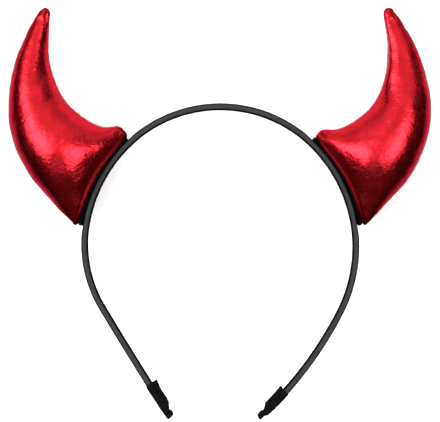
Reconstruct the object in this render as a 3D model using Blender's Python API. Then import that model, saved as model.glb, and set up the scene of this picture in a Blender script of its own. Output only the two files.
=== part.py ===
"""Devil horns headband, lying on its back.

A springy hoop wrapped in black satin carries two stuffed horns of red foil cloth. Each horn
stands on a black felt pad on the hoop's outer face, and each end of the hoop is closed by a
black cloth cover. X runs across the hoop, Y from its ends up to its crown, and Z from back to
front. The backs of the horns are pressed flat where they rest, and that plane is Z = 0.

Shapes are worked out in the hoop's own plane: distances along the band are measured from the
top of its crown, and both sides are worked out at positive X, then turned over for the left.
"""

import math

import bmesh
import bpy
from mathutils import Vector

# Between pieces that touch
CLEARANCE = 0.0003

# Hoop
HOOP_RADIUS = 0.0607
LEG_LENGTH = 0.0598
BAND_THICKNESS = 0.0028
BAND_WIDTH = 0.006
BAND_EDGE_RADIUS = 0.0011
WRAP_THICKNESS = 0.0008
CORE_EDGE_RADIUS = 0.0004
BAND_STEP = 0.0036

# Each side as it has sprung: the radii of its crown, shoulder and cheek as shares of the hoop's,
# its leg's length as a share, how many degrees those four turn, how far its horn turns in, and
# how full the horn's concave side is
SIDES = {
    "left": {
        "sign": -1,
        "radius_shares": (0.98, 1.06, 0.91),
        "leg_share": 0.992,
        "turn_degrees": (42.8, 39.6, 38.4, 2.3),
        "horn_turn": math.radians(82),
        "fullness_share": 1.02,
    },
    "right": {
        "sign": 1,
        "radius_shares": (0.98, 1.06, 1.06),
        "leg_share": 1.006,
        "turn_degrees": (43.4, 40.2, 33.5, 20.3),
        "horn_turn": math.radians(86),
        "fullness_share": 0.97,
    },
}

# Covers on the hoop's ends
COVER_LENGTH = 0.0185
COVER_WALL = 0.001
POCKET_DEPTH = 0.0125
COVER_EDGE_RADIUS = 0.0009

# Along the cover from its mouth, then how far its outer, inner and side walls reach, as
# shares of the full reach round the pocket
COVER_COLUMNS = ("along", "outer_share", "inner_share", "side_share")
COVER_ROWS = (
    (0.00, 0.96, 1.46, 1.16),
    (0.05, 1.00, 1.50, 1.20),
    (0.30, 1.00, 1.46, 1.20),
    (0.60, 0.98, 1.40, 1.16),
    (0.70, 0.96, 0.96, 1.08),
    (0.77, 0.92, 0.70, 0.98),
    (0.83, 0.94, 0.90, 1.00),
    (0.95, 0.92, 0.88, 0.96),
    (1.00, 0.78, 0.70, 0.82),
)

# Felt pads under the horns
PAD_TOP_THICKNESS = 0.0011
PAD_FOOT_THICKNESS = 0.0022
PAD_TOP_SETBACK = 0.0014
PAD_FOOT_REACH = 0.0002
PAD_INSET = 0.0012
PAD_END_SHARE = 0.2
PAD_EDGE_RADIUS = 0.0004

# Horns: the seat is the middle of the base, measured along the band
HORN_SEAT = 0.066
HORN_LENGTH = 0.0872
HORN_BASE = 0.046
HORN_DEPTH = 0.028
HEM_ROLL = 0.0012
REST_PRESS = 0.0012

# Along the spine from the base to the tip: how much of the turn is done, how far the outer and
# inner seams lie from the spine as shares of the base, and the depth as a share of the full one
HORN_COLUMNS = ("along", "turned", "outer_share", "inner_share", "depth_share")
HORN_ROWS = (
    (0.00, 0.00, 0.525, 0.505, 0.42),
    (0.05, 0.04, 0.488, 0.530, 0.68),
    (0.12, 0.11, 0.430, 0.460, 0.90),
    (0.22, 0.25, 0.388, 0.410, 1.00),
    (0.35, 0.40, 0.350, 0.350, 0.93),
    (0.50, 0.60, 0.275, 0.275, 0.78),
    (0.65, 0.76, 0.200, 0.200, 0.61),
    (0.80, 0.90, 0.134, 0.134, 0.43),
    (0.90, 0.96, 0.092, 0.092, 0.30),
    (0.96, 0.99, 0.064, 0.064, 0.21),
    (1.00, 1.00, 0.040, 0.040, 0.13),
)

# The base follows the band's curve, and that curve is gone this share of the way up, faster at
# first where the power is over 1
SAG_SHARE = 0.21
SAG_FADE = 1.5
# Over 1 draws a stuffed section in towards its two seams
SEAM_PINCH = 1.25
# Of the round tip, which stops just short of a point
TIP_SWING = math.radians(80)

# Gathers drawn in along the concave seam, between two shares of the length
GATHER_START = 0.28
GATHER_END = 0.9
GATHER_COUNT = 7
GATHER_DEPTH = 0.0004
# Over 1 keeps them nearer the seam
GATHER_FADE = 2

# Mesh fineness
HORN_STEPS = 30
HORN_POINTS_AROUND = 36
HEM_STEPS = 2
TIP_STEPS = 4
COVER_STEPS = 18
PAD_STEPS = 20
CORNER_STEPS = 2
SHARP_ANGLE = math.radians(50)

MATERIALS = {
    "black_satin": {"colour": (0.045, 0.045, 0.047), "roughness": 0.5, "metallic": 0.0},
    "black_felt": {"colour": (0.008, 0.008, 0.009), "roughness": 0.95, "metallic": 0.0},
    "black_cover_cloth": {"colour": (0.01, 0.009, 0.01), "roughness": 0.9, "metallic": 0.0},
    "red_foil_cloth": {"colour": (0.6, 0.006, 0.02), "roughness": 0.35, "metallic": 0.9},
}

# Worked out from the above
CORE_THICKNESS = BAND_THICKNESS - 2 * WRAP_THICKNESS
CORE_WIDTH = BAND_WIDTH - 2 * WRAP_THICKNESS
REST_HEIGHT = HORN_DEPTH / 2 - REST_PRESS


def smooth_between(rows, columns, column, share):
    """The column's value at this share along, on a smooth curve through the table's rows."""
    place = columns.index(column)
    knots = [row[0] for row in rows]
    values = [row[place] for row in rows]
    last = len(rows) - 2
    i = max([k for k in range(last + 1) if knots[k] <= share], default=0)

    def slope(k):
        low = max(k - 1, 0)
        high = min(k + 1, last + 1)
        return (values[high] - values[low]) / (knots[high] - knots[low])

    span = knots[i + 1] - knots[i]
    t = min((share - knots[i]) / span, 1.0)
    start = (1 + 2 * t) * (1 - t) ** 2 * values[i] + t**2 * (3 - 2 * t) * values[i + 1]
    bend = t * (1 - t) ** 2 * slope(i) - t**2 * (1 - t) * slope(i + 1)
    return start + span * bend


def side_arcs(side):
    """Length and radius of each of the side's arcs, from the crown down to the leg."""
    turns = [math.radians(degrees) for degrees in SIDES[side]["turn_degrees"]]
    radii = [share * HOOP_RADIUS for share in SIDES[side]["radius_shares"]]
    arcs = [(radius * turn, radius) for radius, turn in zip(radii, turns)]
    leg = SIDES[side]["leg_share"] * LEG_LENGTH
    return arcs + [(leg, leg / turns[-1])]


def mouth_distance(side):
    """From the top of the crown along the band to the mouth of the cover on this end."""
    return sum(length for length, _ in side_arcs(side)) - COVER_LENGTH


def radius_at(side, distance):
    """Radius of the arc that this distance from the crown falls in."""
    for length, radius in side_arcs(side):
        distance -= length
        if distance <= 0:
            break
    return radius


def band_frame(side, distance):
    """Point on the band's centreline, outward direction and direction towards its end."""
    point = Vector((0.0, 0.0))
    outward = Vector((0.0, 1.0))
    angle = 0.0
    for length, radius in side_arcs(side):
        run = min(distance, length)
        centre = point - radius * outward
        angle += run / radius
        outward = Vector((math.sin(angle), math.cos(angle)))
        point = centre + radius * outward
        distance -= run
        if distance <= 0:
            break
    return point, outward, Vector((outward.y, -outward.x))


def off_band(side, distance, offset):
    """Point at this offset outwards from the band's centreline."""
    point, outward, _ = band_frame(side, distance)
    return point + offset * outward


def in_space(side, point, height):
    """A point of the hoop's plane, worked out at positive X, placed on its own side."""
    return Vector((SIDES[side]["sign"] * point.x, point.y, height))


def rounded_box_ring(outer, inner, half_width, radius):
    """Offsets (outward, across) round a box with rounded corners, whose outer and inner
    faces lie at their own offsets."""
    radius = min(radius, half_width, (outer + inner) / 2)
    corners = (
        (outer - radius, half_width - radius, 0),
        (radius - inner, half_width - radius, 1),
        (radius - inner, radius - half_width, 2),
        (outer - radius, radius - half_width, 3),
    )
    ring = []
    for middle_out, middle_across, quarter in corners:
        for step in range(CORNER_STEPS + 1):
            angle = math.radians(90) * (quarter + step / CORNER_STEPS)
            out = middle_out + radius * math.cos(angle)
            ring.append((out, middle_across + radius * math.sin(angle)))
    return ring


def new_object(name, mesh_data, material):
    mesh = bpy.data.meshes.new(name)
    mesh_data.to_mesh(mesh)
    mesh_data.free()
    mesh.shade_smooth()
    mesh.set_sharp_from_angle(angle=SHARP_ANGLE)
    mesh.materials.append(material)
    obj = bpy.data.objects.new(name, mesh)
    bpy.context.scene.collection.objects.link(obj)
    return obj


def skinned(rings):
    """Mesh over a row of rings with as many points each, closed at both ends by rungs from
    the front half of the ring to its back half, so that an end may be curved."""
    mesh_data = bmesh.new()
    loops = [[mesh_data.verts.new(point) for point in ring] for ring in rings]
    count = len(loops[0])
    for below, above in zip(loops, loops[1:]):
        for i in range(count):
            j = (i + 1) % count
            mesh_data.faces.new((below[i], below[j], above[j], above[i]))
    for loop in (loops[0], loops[-1]):
        for i in range(count // 2):
            rung = [loop[i], loop[i + 1], loop[-i - 1], loop[-i]]
            mesh_data.faces.new(dict.fromkeys(rung))
    bmesh.ops.recalc_face_normals(mesh_data, faces=mesh_data.faces)
    return mesh_data


def material(name):
    finish = MATERIALS[name]
    made = bpy.data.materials.new(name)
    made.use_nodes = True
    surface = made.node_tree.nodes["Principled BSDF"]
    surface.inputs["Base Color"].default_value = (*finish["colour"], 1.0)
    surface.inputs["Roughness"].default_value = finish["roughness"]
    surface.inputs["Metallic"].default_value = finish["metallic"]
    return made


# Band


def band_ring(side, distance, thickness, width, radius):
    """One ring round the band at this distance from the crown."""
    offsets = rounded_box_ring(thickness / 2, thickness / 2, width / 2, radius)
    return [in_space(side, off_band(side, distance, out), across) for out, across in offsets]


def band_half(side):
    """Rings from the crown to this side's end: satin down to the cover, then the bare core."""
    satin_end = mouth_distance(side) - CLEARANCE
    core_end = mouth_distance(side) + POCKET_DEPTH - CLEARANCE
    steps = math.ceil(satin_end / BAND_STEP)
    rings = []
    for step in range(1, steps + 1):
        distance = satin_end * step / steps
        rings.append(band_ring(side, distance, BAND_THICKNESS, BAND_WIDTH, BAND_EDGE_RADIUS))
    for distance in (satin_end, core_end):
        rings.append(band_ring(side, distance, CORE_THICKNESS, CORE_WIDTH, CORE_EDGE_RADIUS))
    return rings


def make_band(satin):
    top = band_ring("right", 0.0, BAND_THICKNESS, BAND_WIDTH, BAND_EDGE_RADIUS)
    rings = list(reversed(band_half("left"))) + [top] + band_half("right")
    return new_object("band", skinned(rings), satin)


# Covers on the ends


def make_cover(side, cloth):
    """A sleeve over the bare core: down its outside from the end to the mouth, then back down
    the inside of its pocket."""
    pocket_out = CORE_THICKNESS / 2 + CLEARANCE
    pocket_across = CORE_WIDTH / 2 + CLEARANCE
    reach_out = pocket_out + COVER_WALL
    reach_across = pocket_across + COVER_WALL
    rings = []
    for step in range(COVER_STEPS, -1, -1):
        share = step / COVER_STEPS
        outer = reach_out * smooth_between(COVER_ROWS, COVER_COLUMNS, "outer_share", share)
        inner = reach_out * smooth_between(COVER_ROWS, COVER_COLUMNS, "inner_share", share)
        across = reach_across * smooth_between(COVER_ROWS, COVER_COLUMNS, "side_share", share)
        distance = mouth_distance(side) + share * COVER_LENGTH
        offsets = rounded_box_ring(outer, inner, across, COVER_EDGE_RADIUS)
        rings.append([in_space(side, off_band(side, distance, a), b) for a, b in offsets])
    offsets = rounded_box_ring(pocket_out, pocket_out, pocket_across, CORE_EDGE_RADIUS)
    for distance in (mouth_distance(side), mouth_distance(side) + POCKET_DEPTH):
        rings.append([in_space(side, off_band(side, distance, a), b) for a, b in offsets])
    return new_object(f"tip_cover_{side}", skinned(rings), cloth)


# Felt pads


def pad_share(lateral):
    """0 at the pad's top end and 1 at its foot, for a distance from the middle of the seat."""
    return 0.5 + lateral / HORN_BASE


def pad_thickness(lateral):
    share = min(max(pad_share(lateral), 0.0), 1.0)
    return PAD_TOP_THICKNESS + share * (PAD_FOOT_THICKNESS - PAD_TOP_THICKNESS)


def horn_half_depth(share):
    return HORN_DEPTH / 2 * smooth_between(HORN_ROWS, HORN_COLUMNS, "depth_share", share)


def make_pad(side, felt):
    """An oval of felt, bent to the band and thicker at its foot."""
    seat = BAND_THICKNESS / 2 + CLEARANCE
    top = PAD_TOP_SETBACK - HORN_BASE / 2
    foot = HORN_BASE / 2 + PAD_FOOT_REACH
    rings = []
    for step in range(PAD_STEPS + 1):
        swing = math.radians(180) * step / PAD_STEPS
        along = (top + foot) / 2 - math.cos(swing) * (foot - top) / 2
        oval = max(math.sin(swing), PAD_END_SHARE) ** SEAM_PINCH
        half_width = (horn_half_depth(0.0) - PAD_INSET) * oval
        distance = HORN_SEAT + along
        thick = pad_thickness(along)
        offsets = rounded_box_ring(thick / 2, thick / 2, half_width, PAD_EDGE_RADIUS)
        middle = seat + thick / 2
        rings.append([in_space(side, off_band(side, distance, middle + a), b) for a, b in offsets])
    return new_object(f"base_pad_{side}", skinned(rings), felt)


# Horns


def horn_spine(side, shares):
    """Points and headings of the spine at these shares of its length, from the seat outwards."""
    _, outward, _ = band_frame(side, HORN_SEAT)
    start = math.atan2(outward.x, outward.y)
    point = off_band(side, HORN_SEAT, base_offset(0.0))
    spine = []
    last_share = 0.0
    last_direction = outward
    for share in shares:
        turned = smooth_between(HORN_ROWS, HORN_COLUMNS, "turned", share)
        heading = start - turned * SIDES[side]["horn_turn"]
        direction = Vector((math.sin(heading), math.cos(heading)))
        point = point + (share - last_share) * HORN_LENGTH * (direction + last_direction) / 2
        spine.append((point, direction))
        last_share = share
        last_direction = direction
    return spine


def base_offset(lateral):
    """From the band's centreline to the horn's base, at a distance from the seat's middle."""
    return BAND_THICKNESS / 2 + pad_thickness(lateral) + 2 * CLEARANCE


def base_sag(side, lateral):
    """From the straight line across the seat to the base, which follows the band."""
    offset = base_offset(lateral)
    radius = radius_at(side, HORN_SEAT)
    distance = HORN_SEAT + lateral * radius / (radius + offset)
    point, _, along = band_frame(side, HORN_SEAT)
    straight = off_band(side, HORN_SEAT, base_offset(0.0)) + lateral * along
    return off_band(side, distance, offset) - straight


def gather(share, across_share):
    """How far the cloth is drawn in by the gathers, which fade out from the concave seam."""
    if not GATHER_START < share < GATHER_END:
        return 0.0
    place = (share - GATHER_START) / (GATHER_END - GATHER_START)
    wave = 0.5 - 0.5 * math.cos(2 * math.pi * GATHER_COUNT * place)
    near_seam = max(-across_share, 0.0) ** GATHER_FADE
    return GATHER_DEPTH * wave * near_seam * math.sin(math.pi * place)


def horn_ring(side, station, spine_point, direction):
    """Points round the horn, from the outer seam over the front to the concave seam and back."""
    share, inset = station
    outer = HORN_BASE * smooth_between(HORN_ROWS, HORN_COLUMNS, "outer_share", share) - inset
    inner = HORN_BASE * smooth_between(HORN_ROWS, HORN_COLUMNS, "inner_share", share) - inset
    inner *= SIDES[side]["fullness_share"]
    half_depth = horn_half_depth(share) - inset
    to_outer = Vector((direction.y, -direction.x))
    fade = max(1 - share / SAG_SHARE, 0.0) ** SAG_FADE
    ring = []
    for i in range(HORN_POINTS_AROUND):
        angle = 2 * math.pi * i / HORN_POINTS_AROUND
        across_share = math.cos(angle)
        drawn_in = gather(share, across_share)
        lateral = across_share * ((outer if across_share > 0 else inner) - drawn_in)
        rise = max(half_depth * abs(math.sin(angle)) ** SEAM_PINCH - drawn_in, 0.0)
        height = max(math.copysign(rise, math.sin(angle)), -REST_HEIGHT)
        point = spine_point + lateral * to_outer + fade * base_sag(side, lateral)
        ring.append(in_space(side, point, height))
    return ring


def horn_stations():
    """Shares along the spine, each with how far its section is drawn in: a rolled hem, the
    body, then a round tip."""
    hem_end = HEM_ROLL / HORN_LENGTH
    tip_radius = HORN_BASE * smooth_between(HORN_ROWS, HORN_COLUMNS, "outer_share", 1.0)
    tip_start = 1 - tip_radius / HORN_LENGTH
    stations = []
    for step in range(HEM_STEPS):
        swing = math.radians(90) * step / HEM_STEPS
        stations.append((hem_end * (1 - math.cos(swing)), HEM_ROLL * (1 - math.sin(swing))))
    for step in range(HORN_STEPS + 1):
        stations.append((hem_end + (tip_start - hem_end) * step / HORN_STEPS, 0.0))
    for step in range(1, TIP_STEPS + 1):
        swing = TIP_SWING * step / TIP_STEPS
        share = tip_start + (1 - tip_start) * math.sin(swing)
        stations.append((share, tip_radius * (1 - math.cos(swing))))
    return stations


def make_horn(side, foil):
    stations = horn_stations()
    spine = horn_spine(side, [share for share, _ in stations])
    rings = []
    for station, (point, direction) in zip(stations, spine):
        rings.append(horn_ring(side, station, point, direction))
    return new_object(f"horn_{side}", skinned(rings), foil)


def rest_on_floor(objects):
    """Moves all the pieces so that the middle of their box's underside is the origin."""
    corners = [obj.matrix_world @ vert.co for obj in objects for vert in obj.data.vertices]
    low = Vector([min(corner[axis] for corner in corners) for axis in range(3)])
    high = Vector([max(corner[axis] for corner in corners) for axis in range(3)])
    middle = (low + high) / 2
    for obj in objects:
        obj.location = (-middle.x, -middle.y, -low.z)


def main():
    for obj in list(bpy.data.objects):
        bpy.data.objects.remove(obj)
    felt = material("black_felt")
    cloth = material("black_cover_cloth")
    foil = material("red_foil_cloth")
    objects = [make_band(material("black_satin"))]
    for side in SIDES:
        objects.append(make_cover(side, cloth))
        objects.append(make_pad(side, felt))
        objects.append(make_horn(side, foil))
    rest_on_floor(objects)


main()
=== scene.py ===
"""Looks of the devil horns headband: stuffed horns of red foil cloth, felt pads, a hoop wound in
black satin and cloth covers on its ends, on a pale floor, seen from straight above."""

import math

import bmesh
import bpy
import numpy as np
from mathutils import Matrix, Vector, noise


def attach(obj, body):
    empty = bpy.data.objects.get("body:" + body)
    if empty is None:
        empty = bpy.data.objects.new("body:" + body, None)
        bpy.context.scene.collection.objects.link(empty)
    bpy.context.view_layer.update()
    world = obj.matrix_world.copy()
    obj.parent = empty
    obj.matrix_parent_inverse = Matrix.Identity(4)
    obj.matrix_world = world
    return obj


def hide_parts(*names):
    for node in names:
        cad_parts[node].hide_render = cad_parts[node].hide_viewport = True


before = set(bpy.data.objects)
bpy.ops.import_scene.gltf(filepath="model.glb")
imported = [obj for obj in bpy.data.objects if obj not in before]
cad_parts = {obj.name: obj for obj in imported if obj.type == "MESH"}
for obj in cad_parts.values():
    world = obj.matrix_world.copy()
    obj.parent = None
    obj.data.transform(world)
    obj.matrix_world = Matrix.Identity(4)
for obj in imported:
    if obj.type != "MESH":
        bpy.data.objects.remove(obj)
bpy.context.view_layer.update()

# Sizes of the frame that the pieces follow, in metres, and shares of them
HOOP_RADIUS = 0.0607
LEG_LENGTH = 0.0598
BAND_THICKNESS = 0.0028
BAND_WIDTH = 0.006
WRAP_THICKNESS = 0.0008
COVER_LENGTH = 0.0185
COVER_WALL = 0.001
CLEARANCE = 0.0003
PAD_TOP_THICKNESS = 0.0011
PAD_FOOT_THICKNESS = 0.0022
PAD_TOP_SETBACK = 0.0014
PAD_FOOT_REACH = -0.0009
PAD_TAPER = 0.0028
PAD_TAPER_SHARE = 0.62
PAD_INSET = 0.0012
HORN_SEAT = 0.066
HORN_LENGTH = 0.0872
HORN_BASE = 0.046
HORN_DEPTH = 0.028
HEM_ROLL = 0.0012
REST_PRESS = 0.0012
SAG_SHARE = 0.21
SAG_FADE = 1.5
SEAM_PINCH = 1.25
REST_HEIGHT = HORN_DEPTH / 2 - REST_PRESS

# How the two sides differ: how the hoop has sprung, how each horn and cover was made, and
# how light the painted shade beside each horn's outer seam is at its foot
SIDES = {
    "left": {
        "sign": -1,
        "radius_shares": (0.98, 1.06, 0.91),
        "leg_share": 0.992,
        "turn_degrees": (42.8, 39.6, 38.4, 2.3),
        "horn_turn": math.radians(82),
        "fullness_share": 1.02,
        "seed": 3,
        "nub": 1.0,
        "foot_folds": 0.2,
        "foot_shade": 0.35,
        "flat_share": 0.0,
        "cover_shares": (1.0, 1.16),
        "cover_step": 0.06,
        "cover_ends": (-0.0006, -0.0012),
        "cover_lip": 0.0,
        "cover_flare": 0.24,
        "cover_start": 0.0,
    },
    "right": {
        "sign": 1,
        "radius_shares": (0.98, 1.06, 1.06),
        "leg_share": 1.006,
        "turn_degrees": (43.4, 40.2, 33.5, 20.3),
        "horn_turn": math.radians(86),
        "fullness_share": 0.97,
        "seed": 8,
        "nub": 0.35,
        "foot_folds": 0.25,
        "foot_shade": 0.55,
        "flat_share": 1.0,
        "cover_shares": (0.94, 1.16),
        "cover_step": 0.50,
        "cover_ends": (0.0009, 0.0),
        "cover_lip": 0.0006,
        "cover_flare": 0.06,
        "cover_start": 0.0019,
    },
}

HORN_COLUMNS = ("along", "turned", "outer_share", "inner_share", "depth_share")
HORN_ROWS = (
    (0.00, 0.00, 0.525, 0.505, 0.42),
    (0.05, 0.04, 0.488, 0.530, 0.68),
    (0.12, 0.11, 0.430, 0.460, 0.90),
    (0.22, 0.25, 0.388, 0.410, 1.00),
    (0.35, 0.40, 0.350, 0.350, 0.93),
    (0.50, 0.60, 0.275, 0.275, 0.78),
    (0.65, 0.76, 0.200, 0.200, 0.61),
    (0.80, 0.90, 0.134, 0.134, 0.43),
    (0.90, 0.96, 0.092, 0.092, 0.30),
    (0.96, 0.99, 0.064, 0.064, 0.21),
    (1.00, 1.00, 0.040, 0.040, 0.13),
)

COVER_COLUMNS = ("along", "outer_share", "inner_share", "side_share")
COVER_ROWS = (
    (0.00, 0.96, 1.46, 1.16),
    (0.05, 1.00, 1.50, 1.20),
    (0.30, 1.00, 1.46, 1.20),
    (0.60, 0.98, 1.40, 1.16),
    (0.70, 0.96, 0.96, 1.08),
    (0.77, 0.92, 0.70, 0.98),
    (0.83, 0.94, 0.90, 1.00),
    (0.95, 0.92, 0.88, 0.96),
    (1.00, 0.78, 0.70, 0.82),
)

# Middle of the band at the crown, where the hoop's own plane has its origin
CROWN = max((vert.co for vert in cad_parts["band"].data.vertices), key=lambda co: co.y).copy()
CROWN.y -= BAND_THICKNESS / 2

# Noises: feature size, what each adds to its side's seed, and height, all in metres but the seed
# and the hem's height, which is a share of its bead
NOISES = {
    "shape": (0.012, 0, 0.0003),
    "swells": (0.009, 1, 0.00022),
    "ripples": (0.003, 2, 0.00006),
    "nub": (0.0012, 5, 0.0005),
    "knot": (0.0015, 20, 0.0008),
    "hem": (0.0022, 21, 0.1),
    "felt": (0.0009, 41, 0.00009),
    "fibres": (0.0004, 42, 0.000054),
    "cover": (0.0016, 50, 0.00016),
    "threads": (0.0007, 51, 0.00007),
}
SEED_STEP = (7.3, 3.1, 5.7)
TINY = 1e-12

# Pads, band and covers: fineness and small features
PAD_RINGS = 90
PAD_CORNER = 9
PAD_EDGE = 0.0005
PAD_END_SHARE = 0.2
PAD_TOUCH = 0.00004
PAD_CUT = 0.0002
PAD_CUTS = 12
PAD_SEED = 40
PAD_UNDER_HEM = 0.0009
BAND_STEP = 0.0007
BAND_AROUND = 40
BAND_POWER = 4.2
# Girth of the band's section, and where the satin's painted edge shade starts and is whole, as a
# cosine that is lowest in the middle of the band's top and bottom faces
BAND_GIRTH = 0.0157
BAND_EDGE_LOW = -0.96
BAND_EDGE_HIGH = -0.56
BAND_INNER_ROOM = 0.00022
BAND_OUTER_ROOM = 0.00020
BAND_ROOM_FADE = 0.003
BAND_IN_COVER = 0.0035
LAP_PITCH = 0.0075
LAP_LEAN = 1.4
LAP_RISE = 0.00007
LAP_EDGE = 0.015
LAP_TAIL = 0.12
COVER_CORE = BAND_THICKNESS / 2 - WRAP_THICKNESS + CLEARANCE + COVER_WALL
COVER_SIDE = BAND_WIDTH / 2 - WRAP_THICKNESS + CLEARANCE + COVER_WALL
COVER_RINGS = 90
COVER_AROUND = 72
COVER_POWER = 3.6
COVER_STEP_START = 0.78
COVER_STEP_END = 0.86
COVER_SLANT_START = 0.83
COVER_LIP_REACH = 0.0011
COVER_LIP_SLOPE = 1.6
COVER_LIP_EDGE = 1.3
COVER_LIP_ROUND = 0.0001
COVER_FLARE_REACH = 0.1
COVER_RIB_PITCH = 0.0009
COVER_RIB_RISE = 0.00007
COVER_END_ROOM = 0.000001
BORE_ROOM = 0.00012

# The photograph's frame and how it maps onto the mid plane of the headband
PHOTO_WIDTH = 440
PHOTO_HEIGHT = 422
METRES_A_PIXEL = 0.00045
VIEW_CENTRE = Vector((0.0002, 0.0015))
LENS = 180
SENSOR = 36
CLIP_START = 0.01
CLIP_END = 100

FLOOR_SIZE = 6.0
FLOOR_DROP = 0.0002

# White card under the headband, all of the floor that the foil mirrors: a painted reflection
# whose colour darkens outwards into painted shade from a place beyond the crown
CARD_SIZE = 0.8
CARD_DROP = 0.0001
CARD_CENTRE = 0.12
CARD_WHITE = 0.12
CARD_DARK = 0.22
CARD_ALBEDO = 0.72

# Soft boxes and glows of the studio, as directions seen from the headband: degrees from straight
# up and from +X towards +Y, where each starts to fade and ends, and how bright it is
LIGHT_COLUMNS = ("polar", "azimuth", "inner", "outer", "strength")
LIGHT_ROWS = (
    (38, 175, 6, 25, 12.5),
    (28, -13, 4, 24, 11.0),
    (25, 115, 12, 66, 1.7),
    (100, 85, 20, 75, 1.3),
    (62, -90, 8, 48, 0.10),
)
ROOM_LIGHT = 0.07

# Horn mesh: rings along it and points round it, each an even number of coarse ones
HORN_RINGS = 200
HORN_AROUND = 176
COARSE = 2
CAP_RINGS = 6
HEM_RINGS = 6
TIP_RINGS = 8
TIP_SWING = math.radians(80)

# Thinly stuffed upper part, flatter on its concave side
FLAT_START = 0.45
FLAT_FULL = 0.68
FLAT_POWER = 5.0
FLAT_THINNER = 0.12

# Stuffing: the cloth is worked on this many times larger, starts thinner and is pinned up to one
# share of the horn's length and from the other on
STUFF_SCALE = 20
STUFF_FRAMES = 16
STUFF_CAP = 0.0010
STUFF_START = 0.94
STUFF_PINNED_TO = 0.02
STUFF_PINNED_FROM = 0.965
STUFF_EASE = 10
STUFF_FADE_START = 0.45
STUFF_FADE_END = 0.95
STUFF_CLOTH = {
    "quality": 7,
    "mass": 0.3,
    "tension_stiffness": 12,
    "compression_stiffness": 12,
    "shear_stiffness": 4,
    "bending_stiffness": 0.6,
    "shrink_min": -0.008,
    "use_pressure": True,
    "uniform_pressure_force": 10.0,
    "vertex_group_mass": "pinned",
}

# Seams: folds along them, and the sunk line itself
SEAM_START = 0.03
SEAM_END = 0.97
SEAM_LINE_WIDTH = 0.0005
SEAM_LINE_DEPTH = 0.00030
SEAM_COLUMNS = ("name", "count", "width", "fade", "depth")
SEAM_ROWS = (
    ("outer", 24, 0.0011, 0.0028, 0.00009),
    ("inner", 26, 0.0010, 0.0042, 0.00016),
)
FOLD_WIDTHS = (0.6, 1.1)
FOLD_HEIGHTS = (0.3, 1.0)

# Folds at the corners where the seams meet the hem
CORNER_SHIFT = 0.0008
CORNER_CLEAR = 0.001
CORNER_REACH = 0.0058
CORNER_DEPTH = 0.0007
CORNER_COUNT = 7

# Lump of folded cloth over the concave seam's corner, under a crease that runs in from the seam
NUB_FADE = 0.0045
NUB_CREASE = 0.0030
NUB_CREASE_WIDTH = 0.0007
NUB_CREASE_DEPTH = 0.0004
NUB_LUMP = 0.0050
NUB_LUMP_WIDTH = 0.0032
NUB_LUMP_RISE = 0.0009

# Dents on the front: place in the photograph, half length and half width, direction and depth
DENT_FADE = 0.002
DENT_COLUMNS = ("side", "px", "py", "long", "wide", "angle", "deep")
DENT_ROWS = (
    ("left", 42, 72, 0.0070, 0.0030, 85, 0.0003),
    ("left", 50, 101, 0.0030, 0.0024, 60, 0.00025),
    ("left", 63, 118, 0.0050, 0.0026, 45, 0.0002),
    ("left", 46.8, 20, 0.0032, 0.0006, 88, 0.0006),
    ("left", 43, 16.5, 0.0020, 0.0012, 75, -0.0003),
    ("right", 391.5, 45, 0.0050, 0.0014, 95, 0.00022),
    ("right", 392.5, 62, 0.0030, 0.0018, 100, 0.00018),
    ("right", 383.5, 22, 0.0016, 0.0006, 60, 0.0005),
    ("right", 393.5, 16, 0.0028, 0.0006, 121, 0.0006),
    ("right", 387.5, 14.5, 0.0018, 0.0012, 100, -0.0003),
)

# Places on the front that are pressed flat: place in the photograph, how far the flat leans from
# level and towards which side, how deep it cuts and how far it reaches. It is whole in the core
# of that reach, and leaves alone what lies this far behind the mid plane
PRESS_CORE = 0.5
PRESS_BACK = HORN_DEPTH / 8
PRESS_COLUMNS = ("side", "px", "py", "lean", "azimuth", "deep", "reach")
PRESS_ROWS = (
    ("left", 42.5, 18, 20, 172, 0.00050, 0.0034),
    ("left", 43, 9, 84, 126, 0.00050, 0.0034),
    ("right", 391, 17, 17, -20, 0.00040, 0.0030),
    ("right", 397, 14, 84, 42, 0.00025, 0.0030),
)

# Hem: a flattened bead round the base, larger on the front and back than at its two corners,
# as half its width towards the band, half its height, and its middle's place over the base
HEM_COLUMNS = ("where", "half_width", "half_height", "over_base", "sunk")
HEM_ROWS = (
    (0.00, 0.00050, 0.00040, 0.00095, 0.00080),
    (0.30, 0.00075, 0.00055, 0.00050, 0.00055),
    (0.75, 0.00105, 0.00068, -0.00035, 0.00010),
    (1.00, 0.00110, 0.00070, -0.00045, 0.00008),
)
HEM_POWER = 1.3
HEM_AROUND = 24

# Knot of folded cloth that the hem ends in at the corner under the concave seam
KNOT_SWING = 0.45
KNOT_WIDE = 0.0019
KNOT_TALL = 0.0013
KNOT_LIFT = 0.0013
KNOT_SUNK = 0.0003

# Rounded end of the hem at the corner under the outer seam
FOOT_SWING = 0.30
FOOT_WIDE = 0.00060
FOOT_TALL = 0.00040
FOOT_SUNK = 0.00045

# Painted shade beside the outer seam, which darkens the foil's reflection there from the foot to
# this share of the horn's length, and painted shade on the hem
SEAM_SHADE_WIDTH = 0.0030
SEAM_SHADE_FULL = 0.3
SEAM_SHADE_DEPTH = 0.8
HEM_SHADE = 1.15

# Threads of the satin and of the covers' cloth: metres from one to the next, and how much each
# kind counts in the weave
SATIN_TWILL_PITCH = 0.00032
SATIN_TWILL = 0.5
SATIN_LEAN = 0.45
SATIN_CORD_PITCH = 0.00022
SATIN_CORDS = 0.3
COVER_RIBS_PITCH = 0.0006
COVER_WANDER = 0.0004
COVER_COURSE_PITCH = 0.00045
COVER_COURSES = 0.4
COVER_FUZZ = 1.5

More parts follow.
